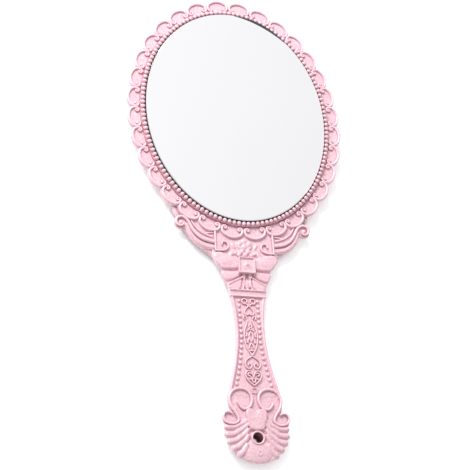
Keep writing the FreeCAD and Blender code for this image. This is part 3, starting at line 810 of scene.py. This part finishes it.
def paintedEdgeReflection():
    # a dark sliver on the glass at the far edge, as thin as paint: a painted reflection of the dark edge
    # beside the beads
    sliver = {"inside": 0.5, "stations": 160, "first": 64, "last": 80, "least": 0.03, "width": 0.75,
              "flat": 0.14}
    stations = alongOval(glassHalf.x - sliver["inside"], glassHalf.y - sliver["inside"], sliver["stations"])
    run = stations[sliver["first"]:sliver["last"]]
    points = []
    widths = []
    for k, (x, y, _) in enumerate(run):
        width = sliver["least"] + sliver["width"] * math.sin(math.pi * k / (len(run) - 1))
        widths.append(width)
        points.append((x, y, glassHigh.z + width))
    bm = bmesh.new()
    addRidges(bm, [(points, widths, 0)], sides=2)
    flatten = (Matrix.Translation((0, 0, glassHigh.z)) @ Matrix.Diagonal((1, 1, sliver["flat"], 1))
               @ Matrix.Translation((0, 0, -glassHigh.z)))
    bmesh.ops.transform(bm, matrix=flatten, verts=bm.verts)
    return meshPiece(bm, "spoiled_edge")


def addOvalDish(bm, rings):
    # A closed oval dish: one face that is drawn out through the heights and half sizes given.
    # The first step keeps the face it starts from, which closes the top.
    high, halfX, halfY = rings[0]
    place = Matrix.Translation((0, 0, high)) @ Matrix.Diagonal((halfX, halfY, 1, 1))
    made = bmesh.ops.create_circle(bm, cap_ends=True, segments=128, radius=1.0, matrix=place)
    face = made["verts"][0].link_faces[0]
    for (z, x, y), (nextZ, nextX, nextY) in zip(rings, rings[1:]):
        raised = bmesh.ops.extrude_face_region(bm, geom=[face], use_keep_orig=z == high)["geom"]
        face = [part for part in raised if isinstance(part, bmesh.types.BMFace)][0]
        corners = list(face.verts)
        bmesh.ops.scale(bm, vec=(nextX / x, nextY / y, 1), verts=corners)
        bmesh.ops.translate(bm, vec=(0, 0, nextZ - z), verts=corners)


def backMoulding():
    # the back: a shallow dish on a flat medallion, and a rounded handle with a heel to lie on
    back = {"skin": 0.8, "wingStep": 0.25, "joint": jointZ + 0.6, "medallion": (24.0, 31.0),
            "medallionTop": 1.6, "edge": 1.9, "wingEdge": 1.0, "heelY": -158, "heel": (5.6, 6.0),
            "heelTop": 2.0, "holeGap": 0.1}
    bm = bmesh.new()
    addOvalDish(bm, [(jointZ, 53.3, 65.8), (3.4, 53.0, 65.5), (2.5, 52.0, 64.5), (1.7, 50.6, 63.1),
                     (1.1, 48.9, 61.4), (0.85, 47.4, 59.9), (back["skin"], 46.0, 58.5)])
    addPlate(bm, ovalLine(*back["medallion"], 48), 0.0, back["medallionTop"], bevel=0.4)
    side = [(16, -57), (16.4, -66), (14.4, -74), (14.2, -79), (11.4, -85.6), (10.0, -91), (7.8, -97.5),
            (6.5, -106), (6.0, -114.5), (6.4, -122), (7.5, -130), (9.2, -138), (11.4, -146), (12.0, -151.6),
            (11.4, -156), (14.6, -158), (15.0, -163), (14.3, -169.6), (11.4, -175.4), (6.6, -179),
            (0, -180.2)]
    x, y, radius = foot["hole"]
    hole = [polar((x, y), radius + back["holeGap"], turn) for turn in range(0, 360, 15)]
    outline = side + list(reversed(mirrorX(side[:-1])))
    addPlate(bm, outline, back["skin"], back["joint"], bevel=back["edge"], hole=hole)
    wing = [(4, -54), (26, -50), (35.4, -51.6), (35.2, -54.6), (32.6, -59.6), (29.8, -64.6), (26.8, -68.8),
            (21.6, -73.8), (16.8, -77.2), (13.6, -80.4), (4, -81)]
    for outline in (wing, mirrorX(wing)):
        addPlate(bm, outline, back["skin"] + back["wingStep"], back["joint"], bevel=back["wingEdge"])
    low, high = back["heel"]
    addDisc(bm, 0, back["heelY"], low, 0.0, back["heelTop"], topRadius=high)
    return meshPiece(bm, "back_moulding")


def backRelief():
    # raised lines on the back: a hoop, petals between it and the medallion, and a long leaf and a
    # row of beads on the handle
    relief = {"petals": 24, "hoop": (44.0, 55.5), "rim": (27.0, 34.4), "petalFoot": (28.5, 36.0),
              "petalReach": (13.5, 17.0), "size": 0.7, "z": 0.8, "bead": (1.1, 1.4, 0.7), "beadZ": 0.9}
    fine = relief["size"] * 0.7
    lines = [(ovalLine(*relief["hoop"], 72, closed=True), relief["size"]),
             (ovalLine(*relief["rim"], 72, closed=True), relief["size"] * 0.8)]
    # a petal as its parts of the reach outwards and of the half step sideways
    petal = [(0.0, 0.0), (0.35, 0.75), (0.75, 0.9), (1.0, 0.0), (0.75, -0.9), (0.35, -0.75), (0.0, 0.0)]
    step = math.pi / relief["petals"]
    (footX, footY), (reachX, reachY) = relief["petalFoot"], relief["petalReach"]
    for k in range(relief["petals"]):
        lines.append(([onOval(footX + reachX * out, footY + reachY * out, step * (2 * k + across))
                       for out, across in petal], fine))
    leaf = [(0, -78), (3.4, -88), (3.0, -100), (2.4, -114), (3.0, -128), (5.2, -140), (0, -151)]
    lines += [(leaf, relief["size"]), (mirrorX(leaf), relief["size"])]
    bm = bmesh.new()
    addRidges(bm, [(points, size, relief["z"]) for points, size in lines], sides=1)
    bmesh.ops.translate(bm, vec=(0, 0, relief["size"]), verts=bm.verts)
    for y in range(-144, -84, 6):
        addBlob(bm, 0, y, relief["beadZ"], relief["bead"], segments=14)
    return meshPiece(bm, "back_relief")


keep(backMoulding(), "back_shell", slot="back_shell", material=backStyrene)
keep(backRelief(), slot="back_shell", material=backStyrene)
keep(mirrorPlate(), "mirror_glass", slot="mirror_glass", material=nodeFinishes["mirror_glass"])
keep(edgeSeal(), slot="backing_paint", material=nodeFinishes["backing_paint"])
keep(paintedEdgeReflection(), slot="backing_paint", material=nodeFinishes["backing_paint"])
keep(handleFiligree(), "front_shell", slot="front_shell", material=crestStyrene)
keep(handlePearls(), "front_shell", slot="front_shell", material=crestStyrene)
keep(beadRing(), "bead_ring", slot="bead_ring")


def studio():
    # a white room, brighter over the top left and dimmer low on the right, with a floor and two
    # lamps that are aimed at a point between head and handle; its lengths are in metres
    floorHalf = 8.0
    aimAt = Vector((0, -0.05, 0))
    sky = {"towards": (-0.35, 0.6, 0.72), "low": 0.41, "dim": 0.6, "bright": 1.23, "colour": "#FCFCFE"}
    world = bpy.data.worlds.new("studio")
    world.use_nodes = True
    tree = world.node_tree
    direction = addNode(tree, "ShaderNodeTexCoord").outputs["Generated"]
    facing = addNode(tree, "ShaderNodeVectorMath", {"operation": "DOT_PRODUCT"}, links={0: direction})
    facing.inputs[1].default_value = sky["towards"]
    levels = {"From Min": sky["low"], "From Max": 1.0, "To Min": sky["dim"], "To Max": sky["bright"]}
    strength = addNode(tree, "ShaderNodeMapRange", inputs=levels, links={"Value": facing.outputs["Value"]})
    background = tree.nodes["Background"]
    background.inputs["Color"].default_value = hexColour(sky["colour"])
    tree.links.new(strength.outputs["Result"], background.inputs["Strength"])
    scene = bpy.context.scene
    scene.world = world
    scene.view_settings.view_transform = "Standard"
    bm = bmesh.new()
    bmesh.ops.create_grid(bm, x_segments=2, y_segments=2, size=floorHalf)
    mesh = bpy.data.meshes.new("studio_floor")
    bm.to_mesh(mesh)
    bm.free()
    floor = makeObject("studio_floor", mesh)
    floor.data.materials.append(paleFloor())
    lamps = {"key": {"at": (-0.34, 0.44, 0.5), "size": 0.4, "power": 5.9},
             "spark": {"at": (-0.25, 0.35, 0.55), "size": 0.08, "power": 1.1}}
    for name, lamp in lamps.items():
        light = bpy.data.lights.new(name, "AREA")
        light.size = lamp["size"]
        light.energy = lamp["power"]
        holder = makeObject(name, light)
        holder.location = lamp["at"]
        aim = aimAt - holder.location
        holder.rotation_mode = "QUATERNION"
        holder.rotation_quaternion = aim.to_track_quat("-Z", "Y")


def camera():
    # a long lens above the handle end, turned so that the mirror leans to the right
    shot = {"lens": 123.6, "sensor": 36.0, "near": 0.05, "at": (-243.7, -395.0, 682.2),
            "turns": (25.812, -17.807, -3.748)}
    view = bpy.data.cameras.new("camera")
    view.sensor_width = shot["sensor"]
    view.lens = shot["lens"]
    view.clip_start = shot["near"]
    holder = makeObject("camera", view)
    holder.location = Vector(shot["at"]) * toMetres
    holder.rotation_euler = [math.radians(turn) for turn in shot["turns"]]
    bpy.context.scene.camera = holder


studio()
camera()
print("studio and camera ready")
